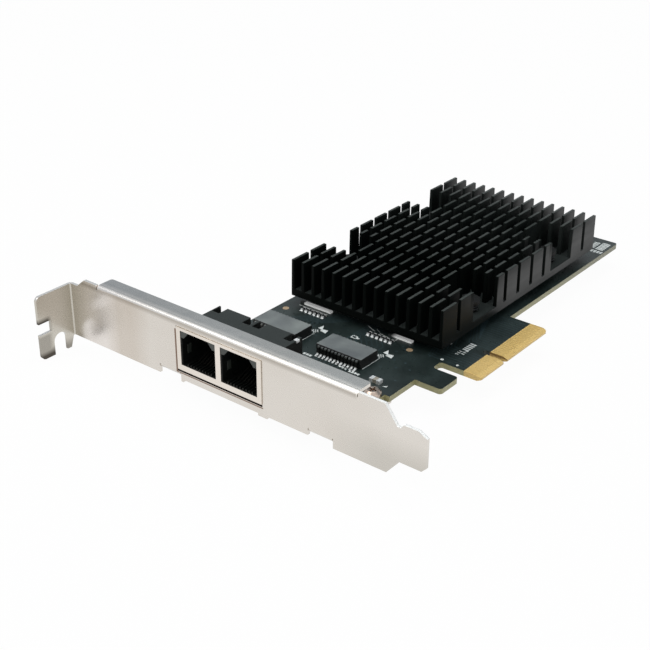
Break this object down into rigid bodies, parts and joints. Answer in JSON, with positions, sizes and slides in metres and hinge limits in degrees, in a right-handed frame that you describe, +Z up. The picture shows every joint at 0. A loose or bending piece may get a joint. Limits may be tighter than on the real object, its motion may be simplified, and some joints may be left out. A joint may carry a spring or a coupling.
{
  "type": "network interface card",
  "caption": "Plug-in network card with a dual-port jack behind a full-height bracket, a gold edge contact tongue and a black pin-fin heat sink.",
  "frame": {"origin": "centre line of the key notch, on the contact edge, at the top (component side) face of the circuit board", "axes": "+X out of the card into its socket; +Y along the card, away from the bracket; +Z up from the component side"},
  "size_m": [0.12, 0.1582, 0.0218],
  "materials": {
    "bracket_plate": "bright nickel-plated sheet steel, faint rolling grain",
    "laminate": "dark teal solder mask over glass-epoxy, satin; olive-khaki cut edges",
    "gold": "smooth hard gold plating",
    "fin_coat": "black anodised aluminium extrusion, satin, sawn fin ends",
    "thermal_pad": "soft grey silicone, matt",
    "chip_package": "green-black package laminate with a nickelled lid",
    "pin_plastic": "black nylon, satin",
    "spring_steel": "drawn spring wire",
    "jack_plastic": "dark grey-green glass-filled plastic, fine texture",
    "shield_plate": "tin-plated sheet",
    "tinned": "matt tin plating",
    "moulding": "grey-black epoxy moulding, fine eroded texture",
    "screw_nickel": "nickel plating, slightly warm",
    "filter_moulding": "pale grey ferrite ceramic",
    "can_steel": "seam-welded metal can",
    "chip_moulding": "black epoxy moulding",
    "ferrite": "dark grey pressed ferrite",
    "ceramic_brown": "fired brown ceramic with tinned ends"
  },
  "bodies": {
    "root": {"bracket": "bracket_plate", "circuit_board": "laminate", "edge_contacts_top": "gold", "edge_contacts_bottom": "gold", "heat_sink": "fin_coat", "thermal_pad": "thermal_pad", "controller_chip": "chip_package", "heat_sink_pins": "pin_plastic", "heat_sink_springs": "spring_steel", "jack_housing": "jack_plastic", "jack_shield": "shield_plate", "jack_contacts_left": "gold", "jack_contacts_right": "gold", "jack_solder_pins": "tinned", "magnetics_left": "moulding", "magnetics_right": "moulding", "magnetics_leads_left": "tinned", "magnetics_leads_right": "tinned", "bracket_screws": "screw_nickel", "line_filters": "filter_moulding", "crystal": "can_steel", "flash_memory": "chip_moulding", "power_inductors": "ferrite", "regulator_chips": "chip_moulding", "chip_capacitors": "ceramic_brown", "bottom_capacitors": "ceramic_brown", "chip_resistors": "chip_moulding"}
  },
  "joints": []
}
